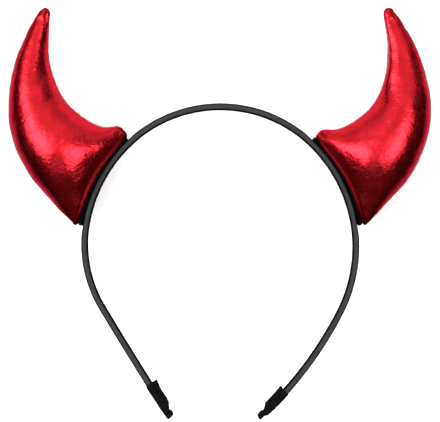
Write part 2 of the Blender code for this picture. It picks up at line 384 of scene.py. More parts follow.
# Colours, as linear red, green and blue
FOIL_DEEP = (0.32, 0.0080, 0.0125, 1.0)
FOIL_LIGHT = (0.39, 0.0102, 0.0165, 1.0)
FOIL_WORN = (0.42, 0.0120, 0.0180, 1.0)
# Painted shade of the foil beside its outer seam and on the hem
FOIL_PAINTED_SHADE = (0.05, 0.0018, 0.0028, 1.0)
FOIL_TINT = (0.75, 0.50, 0.55, 1.0)
FELT_DARK = (0.0005, 0.0005, 0.0006, 1.0)
FELT_LIGHT = (0.0014, 0.0014, 0.0016, 1.0)
SATIN_DARK = (0.010, 0.010, 0.0105, 1.0)
SATIN_LIGHT = (0.019, 0.019, 0.020, 1.0)
# Painted shade over the satin's turned edges
SATIN_EDGE_SHADE = (0.002, 0.002, 0.0022, 1.0)
COVER_DARK = (0.0004, 0.0003, 0.0003, 1.0)
COVER_LIGHT = (0.0040, 0.0032, 0.0035, 1.0)
FLOOR_DARK = (0.73, 0.73, 0.73, 1.0)
FLOOR_LIGHT = (0.75, 0.75, 0.75, 1.0)
WHITE = (1.0, 1.0, 1.0, 1.0)


def smooth_between(rows, columns, column, share):
    """The column's values at these shares along, on a smooth curve through the table's rows."""
    place = columns.index(column)
    x = np.array([row[0] for row in rows])
    y = np.array([row[place] for row in rows])
    share = np.asarray(share, float)
    slope = np.empty_like(y)
    slope[1:-1] = (y[2:] - y[:-2]) / (x[2:] - x[:-2])
    slope[0] = (y[1] - y[0]) / (x[1] - x[0])
    slope[-1] = (y[-1] - y[-2]) / (x[-1] - x[-2])
    i = np.clip(np.searchsorted(x, share, side="right") - 1, 0, len(x) - 2)
    span = x[i + 1] - x[i]
    t = np.clip((share - x[i]) / span, 0, 1)
    start = (1 + 2 * t) * (1 - t) ** 2 * y[i] + t**2 * (3 - 2 * t) * y[i + 1]
    return start + span * (t * (1 - t) ** 2 * slope[i] - t**2 * (1 - t) * slope[i + 1])


def grown(values, start, end):
    """From 0 at the start to 1 at the end, in a straight line."""
    return np.clip((values - start) / (end - start), 0, 1)


def eased(values, start, end):
    """From 0 at the start to 1 at the end, with no corner at either."""
    share = grown(values, start, end)
    return share**2 * (3 - 2 * share)


def bell(values, width):
    return np.exp(-((values / width) ** 2))


# Hoop's own plane, at positive X for both sides


def side_arcs(side):
    turns = [math.radians(degrees) for degrees in SIDES[side]["turn_degrees"]]
    radii = [share * HOOP_RADIUS for share in SIDES[side]["radius_shares"]]
    arcs = [(radius * turn, radius) for radius, turn in zip(radii, turns)]
    leg = SIDES[side]["leg_share"] * LEG_LENGTH
    return arcs + [(leg, leg / turns[-1])]


def side_length(side):
    return sum(length for length, _ in side_arcs(side))


def radius_at(side, distance):
    for length, radius in side_arcs(side):
        distance -= length
        if distance <= 0:
            break
    return radius


def band_frame(side, distance):
    """Point on the band's centreline, outward direction and direction towards its end."""
    point = Vector((0.0, 0.0))
    outward = Vector((0.0, 1.0))
    angle = 0.0
    for length, radius in side_arcs(side):
        run = min(distance, length)
        centre = point - radius * outward
        angle += run / radius
        outward = Vector((math.sin(angle), math.cos(angle)))
        point = centre + radius * outward
        distance -= run
        if distance <= 0:
            break
    return point, outward, Vector((outward.y, -outward.x))


def off_band(side, distance, offset):
    point, outward, _ = band_frame(side, distance)
    return point + float(offset) * outward


def pad_thickness(lateral):
    share = min(max(0.5 + lateral / HORN_BASE, 0.0), 1.0)
    return PAD_TOP_THICKNESS + share * (PAD_FOOT_THICKNESS - PAD_TOP_THICKNESS)


def base_offset(lateral):
    return BAND_THICKNESS / 2 + pad_thickness(lateral) + 2 * CLEARANCE


def foot_of(side, lateral):
    """Point of the horn's base at this distance from the seat's middle."""
    offset = base_offset(lateral)
    radius = radius_at(side, HORN_SEAT)
    return off_band(side, HORN_SEAT + lateral * radius / (radius + offset), offset)


def base_sag(side, lateral):
    """From the straight line across the seat to the base, which follows the band."""
    _, _, along = band_frame(side, HORN_SEAT)
    straight = off_band(side, HORN_SEAT, base_offset(0.0)) + lateral * along
    return foot_of(side, lateral) - straight


def placed(side, points):
    """Points of the hoop's plane with a height, set on their own side in the row's frame."""
    out = np.array(points, float)
    out[..., 0] = SIDES[side]["sign"] * out[..., 0] + CROWN.x
    out[..., 1] += CROWN.y
    out[..., 2] += REST_HEIGHT
    return out


def at_pixel(px, py):
    """Where a pixel of the photograph falls on the mid plane."""
    x = (px - PHOTO_WIDTH / 2) * METRES_A_PIXEL + VIEW_CENTRE.x
    y = (PHOTO_HEIGHT / 2 - py) * METRES_A_PIXEL + VIEW_CENTRE.y
    return x, y


# Grids of points


def grid_normals(grid):
    """Outward unit normals of a grid of rings, closed round each ring."""
    along = np.gradient(grid, axis=0)
    around = (np.roll(grid, -1, 1) - np.roll(grid, 1, 1)) / 2
    normal = np.cross(around, along)
    normal /= np.linalg.norm(normal, axis=2, keepdims=True) + TINY
    middle = grid.mean(1, keepdims=True)
    if ((grid - middle) * normal).sum() < 0:
        normal = -normal
    return normal


def raised(grid, height):
    """The grid with every point moved outwards by its height."""
    return grid + grid_normals(grid) * height[..., None]


def noise_field(side, grid, *names):
    """Sum of the named noises at every point of a grid."""
    total = np.zeros(grid.shape[:2])
    for name in names:
        size, step, height = NOISES[name]
        seed = SIDES[side]["seed"] + step
        offset = Vector([seed * shift for shift in SEED_STEP])
        values = [noise.noise(Vector(point) + offset) for point in grid.reshape(-1, 3) / size]
        total += height * np.reshape(values, total.shape)
    return total


def girths(grid):
    """Distances round each ring of a grid, from its first point to each and back to the first."""
    steps = np.linalg.norm(np.roll(grid, -1, 1) - grid, axis=2)
    return np.concatenate([np.zeros((len(grid), 1)), np.cumsum(steps, 1)], 1)


def soft_ring(count, power):
    """Points of a ring of half size 1: round at a power of 2, pointed below, square above."""
    angles = 2 * math.pi * np.arange(count) / count
    return tuple(np.sign(s) * np.abs(s) ** (2 / power) for s in (np.cos(angles), np.sin(angles)))


def mesh_of(name, grid, ends="rungs", uv=None):
    """Object from a grid of rings. Its ends are closed by rungs, left open, or joined."""
    rings, around, _ = grid.shape
    here = np.arange(rings * around).reshape(rings, around)
    beside = np.roll(here, -1, 1)
    rows = rings if ends == "joined" else rings - 1
    after = np.roll(here, -1, 0)[:rows]
    beside_after = np.roll(beside, -1, 0)[:rows]
    quads = np.stack([here[:rows], beside[:rows], beside_after, after], 2).reshape(-1, 4)
    faces = quads.tolist()
    if ends == "rungs":
        for loop in (here[0].tolist(), here[-1].tolist()):
            for k in range(around // 2):
                rung = [loop[k], loop[k + 1], loop[-k - 1], loop[-k]]
                faces.append(list(dict.fromkeys(rung)))
    work = bmesh.new()
    verts = [work.verts.new(point) for point in grid.reshape(-1, 3).tolist()]
    for face in faces:
        work.faces.new([verts[k] for k in face])
    bmesh.ops.recalc_face_normals(work, faces=work.faces)
    if uv is not None:
        add_uv(work, uv)
    mesh = bpy.data.meshes.new(name)
    work.to_mesh(mesh)
    work.free()
    mesh.shade_smooth()
    obj = bpy.data.objects.new(name, mesh)
    bpy.context.scene.collection.objects.link(obj)
    return obj


def add_uv(work, uv):
    """uv holds metres along and metres round for each point, and for each ring's end."""
    layer = work.loops.layers.uv.new("cloth")
    around = uv.shape[1] - 1
    work.verts.index_update()
    for face in work.faces:
        rounds = [loop.vert.index % around for loop in face.loops]
        wraps = max(rounds) - min(rounds) > around // 2
        for loop, place in zip(face.loops, rounds):
            column = around if wraps and place == 0 else place
            loop[layer].uv = uv[loop.vert.index // around, column]


# Horns


def horn_column(column, share):
    return smooth_between(HORN_ROWS, HORN_COLUMNS, column, share)


def horn_stations():
    """For each ring its share along the spine, how far its section is drawn in, and its scale:
    a cap over the base, then the hem, the body and a round tip."""
    hem = HEM_ROLL / HORN_LENGTH
    tip_radius = HORN_BASE * float(horn_column("outer_share", 1.0))
    tip_start = 1 - tip_radius / HORN_LENGTH
    body_rings = HORN_RINGS - CAP_RINGS - HEM_RINGS - TIP_RINGS
    hem_swing = np.linspace(0, math.pi / 2, HEM_RINGS, endpoint=False)
    tip_swing = TIP_SWING * np.arange(1, TIP_RINGS + 1) / TIP_RINGS
    shares = np.concatenate([
        np.zeros(CAP_RINGS),
        hem * (1 - np.cos(hem_swing)),
        np.linspace(hem, tip_start, body_rings),
        tip_start + (1 - tip_start) * np.sin(tip_swing),
    ])
    insets = np.concatenate([
        np.full(CAP_RINGS, HEM_ROLL),
        HEM_ROLL * (1 - np.sin(hem_swing)),
        np.zeros(body_rings),
        tip_radius * (1 - np.cos(tip_swing)),
    ])
    scales = np.ones(HORN_RINGS)
    scales[:CAP_RINGS] = np.arange(1, CAP_RINGS + 1) / (CAP_RINGS + 1)
    return shares, insets, scales


def horn_spine(side, shares):
    """Points and headings of the spine at these shares of its length."""
    _, outward, _ = band_frame(side, HORN_SEAT)
    start = math.atan2(outward.x, outward.y)
    turned = horn_column("turned", shares)
    angle = start - turned * SIDES[side]["horn_turn"]
    heading = np.stack([np.sin(angle), np.cos(angle)], 1)
    before = np.vstack([outward, heading[:-1]])
    steps = np.diff(np.concatenate([[0.0], shares]))
    moves = steps[:, None] * HORN_LENGTH * (heading + before) / 2
    foot = off_band(side, HORN_SEAT, base_offset(0.0))
    return np.array(foot) + np.cumsum(moves, 0), heading


def horn_grid(side):
    """Rings of the horn in the hoop's plane, not yet set on their side, and their shares."""
    shares, insets, scales = horn_stations()
    spine, heading = horn_spine(side, shares)
    angles = 2 * math.pi * np.arange(HORN_AROUND) / HORN_AROUND
    outer, inner, depth = (
        horn_column(column, shares) for column in ("outer_share", "inner_share", "depth_share")
    )
    outer = HORN_BASE * outer - insets
    inner = (HORN_BASE * inner - insets) * SIDES[side]["fullness_share"]
    flat = SIDES[side]["flat_share"] * eased(shares, FLAT_START, FLAT_FULL)
    depth = (HORN_DEPTH / 2 * depth - insets) * scales * (1 - FLAT_THINNER * flat)
    across = np.cos(angles)
    lateral = across * np.where(across > 0, outer[:, None], inner[:, None]) * scales[:, None]
    boxy = (1 - np.abs(across) ** FLAT_POWER) ** (1 / FLAT_POWER)
    share = flat[:, None] * (across < 0)
    rise = depth[:, None] * ((1 - share) * np.abs(np.sin(angles)) ** SEAM_PINCH + share * boxy)
    to_outer = np.stack([heading[:, 1], -heading[:, 0]], 1)
    grid = np.zeros((HORN_RINGS, HORN_AROUND, 3))
    grid[..., :2] = spine[:, None] + lateral[..., None] * to_outer[:, None]
    grid[..., 2] = np.copysign(rise, np.sin(angles))
    fade = np.maximum(1 - shares / SAG_SHARE, 0) ** SAG_FADE
    for i in np.nonzero(fade)[0]:
        for j in range(HORN_AROUND):
            grid[i, j, :2] += fade[i] * np.array(base_sag(side, float(lateral[i, j])))
    return grid, shares


def stuffed(grid, pinned):
    """How far each point of the grid moves when its cloth, a little longer than its pinned seams,
    is blown up from within."""
    work = mesh_of("stuffing", grid * STUFF_SCALE)
    group = work.vertex_groups.new(name="pinned")
    for index in np.nonzero(pinned.ravel())[0]:
        group.add([int(index)], 1.0, "REPLACE")
    cloth = work.modifiers.new("cloth", "CLOTH")
    for key, value in STUFF_CLOTH.items():
        setattr(cloth.settings, key, value)
    cloth.settings.effector_weights.gravity = 0
    cloth.collision_settings.use_collision = False
    cloth.collision_settings.use_self_collision = False
    scene = bpy.context.scene
    for frame_number in range(1, STUFF_FRAMES + 1):
        scene.frame_set(frame_number)
    blown = work.evaluated_get(bpy.context.evaluated_depsgraph_get()).data
    moved = np.empty(len(blown.vertices) * 3)
    blown.vertices.foreach_get("co", moved)
    shift = moved.reshape(grid.shape) / STUFF_SCALE - grid
    scene.frame_set(1)
    bpy.data.objects.remove(work)
    size = np.linalg.norm(shift, axis=2, keepdims=True)
    shift *= np.minimum(1, STUFF_CAP / np.maximum(size, TINY))
    for _ in range(STUFF_EASE):
        shift = (np.roll(shift, 1, 1) + 2 * shift + np.roll(shift, -1, 1)) / 4
        shift[1:-1] = (shift[:-2] + 2 * shift[1:-1] + shift[2:]) / 4
    return shift


def refined(coarse):
    """A coarse grid's values carried to every ring and point of the fine one."""
    rows = np.minimum(np.arange(HORN_RINGS) / COARSE, len(coarse) - 1)
    low = np.minimum(rows.astype(int), len(coarse) - 2)
    part = (rows - low)[:, None, None]
    tall = coarse[low] * (1 - part) + coarse[low + 1] * part
    fine = np.empty((HORN_RINGS, HORN_AROUND, 3))
    for k in range(COARSE):
        fine[:, k::COARSE] = tall * (1 - k / COARSE) + np.roll(tall, -1, 1) * k / COARSE
    return fine


def stuffing(grid, shares):
    """Moves of the horn's points as it is stuffed, which fade out along its thin upper part."""
    coarse = grid[::COARSE, ::COARSE]
    pinned = np.zeros(coarse.shape[:2], bool)
    pinned[:, 0] = True
    pinned[:, coarse.shape[1] // 2] = True
    pinned[shares[::COARSE] < STUFF_PINNED_TO] = True
    pinned[shares[::COARSE] > STUFF_PINNED_FROM] = True
    thin = grown(shares, STUFF_FADE_START, STUFF_FADE_END)
    return refined(stuffed(coarse, pinned)) * (1 - thin)[:, None, None]


def girth_distances(grid):
    """How far each point lies from the outer seam and from the concave seam, round its ring."""
    run = girths(grid)
    girth = run[:, -1:]
    run = run[:, :-1]
    half = grid.shape[1] // 2
    return np.minimum(run, girth - run), np.abs(run - run[:, half:half + 1])


def folds(shares, places, widths, heights):
    """Sum of rounded folds that cross a seam at these shares along it."""
    total = np.zeros_like(shares)
    for place, width, height in zip(places, widths, heights):
        total += height * bell(shares - place, width)
    return total


def seam_puckers(side, shares, outer, inner):
    """Inward moves of the short folds along both seams and of the seams themselves."""
    rng = np.random.default_rng(SIDES[side]["seed"])
    body = (shares > SEAM_START) & (shares < SEAM_END)
    move = np.zeros_like(outer)
    for row in SEAM_ROWS:
        seam = dict(zip(SEAM_COLUMNS, row))
        distance = outer if seam["name"] == "outer" else inner
        count = seam["count"]
        places = np.linspace(SEAM_START, SEAM_END, count) + rng.uniform(-0.5, 0.5, count) / count
        widths = rng.uniform(*FOLD_WIDTHS, count) * seam["width"] / HORN_LENGTH
        heights = rng.uniform(*FOLD_HEIGHTS, count)
        across = seam["depth"] * folds(shares, places, widths, heights)[:, None]
        line = SEAM_LINE_DEPTH * bell(distance, SEAM_LINE_WIDTH)
        move += (across * bell(distance, seam["fade"]) + line) * body[:, None]
    return move


def corner_folds(side, shares, beside, grid):
    """Folds that run out from a corner where a seam, this far beside, meets the hem."""
    along = shares[:, None] * HORN_LENGTH
    reach = np.hypot(along, beside)
    turn = np.arctan2(beside * np.sign(grid[..., 2]), along + CORNER_SHIFT)
    fade = bell(reach, CORNER_REACH) * reach / (reach + CORNER_CLEAR)
    return CORNER_DEPTH * (1 + np.cos(CORNER_COUNT * turn + SIDES[side]["seed"])) / 2 * fade


def corner_nub(side, shares, inner, grid):
    """The lump and its crease, and how the cloth crumples over them."""
    along = shares[:, None] * HORN_LENGTH
    crease = bell(along - NUB_CREASE, NUB_CREASE_WIDTH)
    lump = bell(along - NUB_LUMP, NUB_LUMP_WIDTH)
    crumple = noise_field(side, grid, "nub") * (lump + crease)
    move = NUB_CREASE_DEPTH * crease - NUB_LUMP_RISE * lump + crumple
    return SIDES[side]["nub"] * bell(inner, NUB_FADE) * move


def dents(side, points):
    """Inward moves of the dents that show on the front, placed by the photograph's pixels."""
    move = np.zeros(points.shape[:2])
    front = grown(points[..., 2], REST_HEIGHT - DENT_FADE, REST_HEIGHT)
    for row in DENT_ROWS:
        dent = dict(zip(DENT_COLUMNS, row))
        if dent["side"] != side:
            continue
        x, y = at_pixel(dent["px"], dent["py"])
        angle = math.radians(dent["angle"])
        dx = points[..., 0] - x
        dy = points[..., 1] - y
        long = dx * math.cos(angle) + dy * math.sin(angle)
        wide = dy * math.cos(angle) - dx * math.sin(angle)
        move += dent["deep"] * bell(long, dent["long"]) * bell(wide, dent["wide"]) * front
    return move


def pressed(side, points):
    """The points with each flat of the table cut in, fading out round its place."""
    for row in PRESS_ROWS:
        press = dict(zip(PRESS_COLUMNS, row))
        if press["side"] != side:
            continue
        x, y = at_pixel(press["px"], press["py"])
        normal = np.array(toward(press["lean"], press["azimuth"]))
        away = np.hypot(points[..., 0] - x, points[..., 1] - y) / press["reach"]
        front = points[..., 2] > REST_HEIGHT - PRESS_BACK
        height = points @ normal
        level = height[(away < PRESS_CORE) & front].max() - press["deep"]
        fade = (1 - grown(away, PRESS_CORE, 1)) * front
        points = points - (np.maximum(height - level, 0) * fade)[..., None] * normal
    return points


def shade_beside_seam(piece, shares):
    """Keeps how much painted shade shows at each point, beside the seam and on the hem."""
    layer = piece.data.attributes.new("seam", "FLOAT", "POINT")
    layer.data.foreach_set("value", shares)


def make_horn(side, foil):
    """Two panels of foil cloth sewn along the outline, turned and stuffed."""
    grid, shares = horn_grid(side)
    grid[..., 2] *= STUFF_START
    grid = raised(grid, noise_field(side, grid, "shape"))
    grid += stuffing(grid, shares)
    outer, inner = girth_distances(grid)
    move = seam_puckers(side, shares, outer, inner)
    move += corner_folds(side, shares, inner, grid)
    move += SIDES[side]["foot_folds"] * corner_folds(side, shares, outer, grid)
    move += corner_nub(side, shares, inner, grid)
    move += dents(side, placed(side, grid))
    move -= noise_field(side, grid, "swells", "ripples")
    move[:CAP_RINGS] = 0
    grid = raised(grid, -move)
    grid[..., 2] = np.maximum(grid[..., 2], -REST_HEIGHT)
    horn = mesh_of(f"stuffed_horn_{side}", pressed(side, placed(side, grid)))
    # Painted shade beside the outer seam, darkening its reflection, lighter at the foot
    shade = np.interp(shares, (0, SEAM_SHADE_FULL), (SIDES[side]["foot_shade"], 1))
    shade_beside_seam(horn, (shade[:, None] * bell(outer, SEAM_SHADE_WIDTH)).ravel())
    horn.data.materials.append(foil)
    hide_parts(f"horn_{side}")
    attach(horn, "root")


def hem_sizes(side, angles):
    """The table's columns round the base, with the knot and the rounded foot added."""
    half_width, half_height, over_base, sunk = (
        smooth_between(HEM_ROWS, HEM_COLUMNS, column, np.abs(np.sin(angles)))
        for column in HEM_COLUMNS[1:]
    )
    knot = SIDES[side]["nub"] * bell(angles - math.pi, KNOT_SWING)
    foot = bell(np.minimum(angles, 2 * math.pi - angles), FOOT_SWING)
    half_width += KNOT_WIDE * knot + FOOT_WIDE * foot
    half_height += KNOT_TALL * knot + FOOT_TALL * foot
    over_base += KNOT_LIFT * knot
    sunk += KNOT_SUNK * knot + FOOT_SUNK * foot
    return half_width, half_height, over_base, sunk, knot


def make_hem(side, foil):
    """The base's edge, turned under and drawn up into a rounded bead of cloth."""
    angles = 2 * math.pi * np.arange(HORN_AROUND) / HORN_AROUND
    half_width, half_height, over_base, sunk, knot = hem_sizes(side, angles)
    across = np.cos(angles)
    outer, inner, depth = (
        float(horn_column(column, 0.0)) for column in ("outer_share", "inner_share", "depth_share")
    )
    inner *= SIDES[side]["fullness_share"]
    lateral = HORN_BASE * np.where(across > 0, outer, inner) * across
    height = HORN_DEPTH / 2 * depth * np.abs(np.sin(angles)) ** SEAM_PINCH
    height = np.copysign(height, np.sin(angles))
    lateral_step = np.roll(lateral, -1) - np.roll(lateral, 1)
    height_step = np.roll(height, -1) - np.roll(height, 1)
    size = np.hypot(lateral_step, height_step)
    out_lateral = height_step / size
    out_height = -lateral_step / size
    path, out, to_base = np.zeros((3, HORN_AROUND, 3))
    for j in range(HORN_AROUND):
        place = float(lateral[j] - sunk[j] * out_lateral[j])
        _, outward, tangent = band_frame(side, HORN_SEAT + place)
        path[j, :2] = foot_of(side, place) + float(over_base[j]) * outward
        path[j, 2] = height[j] - sunk[j] * out_height[j]
        out[j, :2] = float(out_lateral[j]) * tangent
        out[j, 2] = out_height[j]
        to_base[j, :2] = -outward
    middle = placed(side, path)
    half_up = placed(side, path + out * half_height[:, None]) - middle
    half_across = placed(side, path + to_base * half_width[:, None]) - middle
    middle = middle[:, None]
    up, across = soft_ring(HEM_AROUND, HEM_POWER)
    rings = middle + half_up[:, None] * up[:, None] + half_across[:, None] * across[:, None]
    crumple = noise_field(side, rings, "knot") * knot[:, None]
    rings += (rings - middle) * noise_field(side, rings, "hem")[..., None]
    hem = mesh_of(f"hem_{side}", raised(rings, crumple), "joined")
    # Painted shade over the whole hem
    shade_beside_seam(hem, np.full(len(hem.data.vertices), HEM_SHADE))
    hem.data.materials.append(foil)
    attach(hem, "root")


# Felt pads


def make_pad(side, felt):
    """Oval of felt between the band and the horn, with hand-cut edges and a soft, rough face."""
    top = PAD_TOP_SETBACK - HORN_BASE / 2
    foot = HORN_BASE / 2 + PAD_FOOT_REACH
    swing = np.linspace(0, math.pi, PAD_RINGS)
    along = (top + foot) / 2 - np.cos(swing) * (foot - top) / 2
    depth = HORN_DEPTH / 2 * float(horn_column("depth_share", 0.0))
    rng = np.random.default_rng(SIDES[side]["seed"] + PAD_SEED)
    cuts = rng.uniform(-PAD_CUT, PAD_CUT, PAD_CUTS)
    cut = np.interp(swing, np.linspace(0, math.pi, PAD_CUTS), cuts)
    oval = np.maximum(np.sin(swing), PAD_END_SHARE) ** SEAM_PINCH
    half_width = (depth - PAD_INSET - PAD_UNDER_HEM) * oval + cut
    taper = np.sqrt(1 - grown(along, foot - PAD_TAPER, foot))
    low = BAND_THICKNESS / 2 + PAD_TOUCH
    grid = np.zeros((PAD_RINGS, 4 * PAD_CORNER + 4, 3))
    for i in range(PAD_RINGS):
        thickness = base_offset(along[i]) - PAD_TOUCH - low
        thickness *= PAD_TAPER_SHARE + (1 - PAD_TAPER_SHARE) * taper[i]
        radius = min(PAD_EDGE, half_width[i], thickness / 2)
        for j, (out, across) in enumerate(rounded_box(low, low + thickness, half_width[i], radius)):
            point = off_band(side, HORN_SEAT + float(along[i]), out)
            grid[i, j] = (point.x, point.y, across)
    grid = raised(grid, noise_field(side, grid, "felt", "fibres"))
    pad = mesh_of(f"felt_pad_{side}", placed(side, grid))
    pad.data.materials.append(felt)
    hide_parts(f"base_pad_{side}")
    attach(pad, "root")


def rounded_box(low, high, half_width, radius):
    """Offsets (outward, across) round a box from low to high, with rounded corners."""
    corners = (
        (high - radius, half_width - radius),
        (low + radius, half_width - radius),
        (low + radius, radius - half_width),
        (high - radius, radius - half_width),
    )
    ring = []
    for quarter, (out, across) in enumerate(corners):
        for step in range(PAD_CORNER + 1):
            angle = math.pi / 2 * (quarter + step / PAD_CORNER)
            ring.append((out + radius * math.cos(angle), across + radius * math.sin(angle)))
    return ring


# Band


def section(around, power, half_outward, half_inward, half_across):
    """Offsets (outward, across) round a soft-cornered section."""
    out, across = soft_ring(around, power)
    return out * np.where(out > 0, half_outward, half_inward), across * half_across


def make_band(satin):
    """Satin ribbon wound on the hoop's core, each turn lapped over the one before."""
    distances = {}
    for side in SIDES:
        end = side_length(side) - COVER_LENGTH + BAND_IN_COVER
        distances[side] = np.linspace(0, end, math.ceil(end / BAND_STEP) + 1)
    rows = [("left", distance) for distance in distances["left"][::-1]]
    rows += [("right", distance) for distance in distances["right"][1:]]
    run = np.array([distance * SIDES[side]["sign"] for side, distance in rows])[:, None]
    half = BAND_THICKNESS / 2
    out, across = section(BAND_AROUND, BAND_POWER, half, half + BAND_INNER_ROOM, BAND_WIDTH / 2)
    grid = np.zeros((len(rows), BAND_AROUND, 3))
    for i, (side, distance) in enumerate(rows):
        point, outward, _ = band_frame(side, distance)
        bare = grown(abs(distance - HORN_SEAT) - HORN_BASE / 2, 0, BAND_ROOM_FADE)
        reach = out * np.where(out > 0, 1 + bare * BAND_OUTER_ROOM / half, 1.0)
        ring = (point.x + reach * outward.x, point.y + reach * outward.y, across)
        grid[i] = placed(side, np.stack(ring, 1))
    girth = girths(np.stack([out, across], 1)[None])
    lap = (run / LAP_PITCH + LAP_LEAN * girth[:, :-1] / girth[0, -1]) % 1.0
    ridge = LAP_RISE * np.exp(-lap / LAP_TAIL) * (1 - np.exp(-lap / LAP_EDGE))
    uv = np.stack(np.broadcast_arrays(run, girth), 2)
    band = mesh_of("satin_band", raised(grid, ridge - LAP_RISE / 2), uv=uv)
    band.data.materials.append(satin)
    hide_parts("band")
    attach(band, "root")


# Covers on the ends


def cover_rows(side, mouth, length):
    """Rings from the closed end to the mouth and back down the bore: where each lies along the
    hoop, and its half sizes outwards, inwards and across."""
    shares = np.linspace(0, 1, COVER_RINGS)
    outer, inner, reach = (
        smooth_between(COVER_ROWS, COVER_COLUMNS, column, shares) for column in COVER_COLUMNS[1:]
    )
    outer_share, inner_share = SIDES[side]["cover_shares"]
    step = SIDES[side]["cover_step"] * eased(shares, COVER_STEP_START, COVER_STEP_END)
    flare = SIDES[side]["cover_flare"] * np.exp(-shares / COVER_FLARE_REACH)
    outer = COVER_CORE * outer * outer_share * (1 - step)
    inner = COVER_CORE * inner * inner_share * (1 + flare)
    skin = np.stack([mouth + shares * length, outer, inner, COVER_SIDE * reach], 1)[::-1]
    bore_out = BAND_THICKNESS / 2 + BORE_ROOM
    bore = np.array([bore_out, bore_out, BAND_WIDTH / 2 + BORE_ROOM])
    lip = np.array([mouth - COVER_LIP_ROUND, *(skin[-1, 1:] + bore) / 2])
    depths = (0.0, BAND_IN_COVER / 2, BAND_IN_COVER + BORE_ROOM)
    return np.vstack([skin, lip, *([mouth + depth, *bore] for depth in depths)])


def make_cover(side, cloth):
    """A tube of cloth shrunk over the end, open at its mouth where the band goes in."""
    end = side_length(side)
    length = COVER_LENGTH - SIDES[side]["cover_start"]
    mouth = end - length
    rows = cover_rows(side, mouth, length)
    high, low = SIDES[side]["cover_ends"]
    grid = np.zeros((len(rows), COVER_AROUND, 3))
    for i, (distance, *half_sizes) in enumerate(rows):
        out, across = section(COVER_AROUND, COVER_POWER, *half_sizes)
        point, outward, onward = band_frame(side, min(distance, end - COVER_END_ROOM))
        past = (distance - mouth) / length
        past = max(past - COVER_SLANT_START, 0) / (1 - COVER_SLANT_START)
        ahead = past * (low + (high - low) * grown(out, -COVER_CORE, COVER_CORE))
        if i <= COVER_RINGS:
            near_mouth = bell(distance - mouth, COVER_LIP_REACH)
            inward = np.clip(-COVER_LIP_SLOPE * out / COVER_CORE - COVER_LIP_EDGE, 0, 1)
            ahead -= SIDES[side]["cover_lip"] * near_mouth * inward
        x = point.x + out * outward.x + ahead * onward.x
        y = point.y + out * outward.y + ahead * onward.y
        grid[i] = np.stack([x, y, across], 1)
    along = rows[:, :1]
    rough = noise_field(side, grid, "cover", "threads")
    rough += COVER_RIB_RISE * np.sin(2 * math.pi * along / COVER_RIB_PITCH)
    rough[COVER_RINGS:] = 0
    grid = raised(grid, rough)
    uv = np.stack(np.broadcast_arrays(along, girths(grid)), 2)
    cover = mesh_of(f"end_cover_{side}", placed(side, grid), uv=uv)
    cover.data.materials.append(cloth)
    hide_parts(f"tip_cover_{side}")
    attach(cover, "root")


# Materials


class Nodes:
    """Short calls for the nodes of one material or world."""

    def __init__(self, tree):
        self.tree = tree

    def feed(self, sockets, values):
        """Links or sets each named or numbered socket."""
        for key, value in values.items():
            if isinstance(value, bpy.types.NodeSocket):
                self.tree.links.new(value, sockets[key])
            else:
                sockets[key].default_value = value

    def new(self, kind, inputs=None, **settings):
        node = self.tree.nodes.new(kind)
        for key, value in settings.items():
            setattr(node, key, value)
        self.feed(node.inputs, inputs or {})
        return node

    def place(self, name):
        return self.new("ShaderNodeTexCoord").outputs[name]

    def maths(self, operation, *values):
        return self.new("ShaderNodeMath", dict(enumerate(values)), operation=operation).outputs[0]

    def add(self, *values):
        return self.maths("ADD", *values)

    def times(self, *values):
        return self.maths("MULTIPLY", *values)

    def wave(self, place, pitch):
        return self.maths("SINE", self.times(place, 2 * math.pi / pitch))

    def noise(self, place, scale, detail=2.0, roughness=0.5):
        inputs = {"Vector": place, "Scale": scale, "Detail": detail, "Roughness": roughness}
        return self.new("ShaderNodeTexNoise", inputs).outputs["Fac"]

    def ramp(self, value, low, high, to_low=0.0, to_high=1.0, kind="LINEAR"):
        inputs = {"Value": value, "From Min": low, "From Max": high}
        inputs |= {"To Min": to_low, "To Max": to_high}
        return self.new("ShaderNodeMapRange", inputs, interpolation_type=kind).outputs["Result"]

    def mix(self, share, first, second):
        node = self.new("ShaderNodeMix", data_type="RGBA")
        shown = {socket.name: socket for socket in node.inputs if socket.enabled}
        self.feed(shown, {"Factor": share, "A": first, "B": second})
        return next(socket for socket in node.outputs if socket.enabled)

    def bump(self, height, strength, distance, normal=None):
        inputs = {"Height": height, "Strength": strength, "Distance": distance}
        if normal is not None:
            inputs["Normal"] = normal
        return self.new("ShaderNodeBump", inputs).outputs["Normal"]


def new_material(name, **values):
    made = bpy.data.materials.new(name)
    made.use_nodes = True
    nodes = Nodes(made.node_tree)
    surface = made.node_tree.nodes["Principled BSDF"]
    for key, value in values.items():
        surface.inputs[key.replace("_", " ")].default_value = value
    return made, nodes, surface


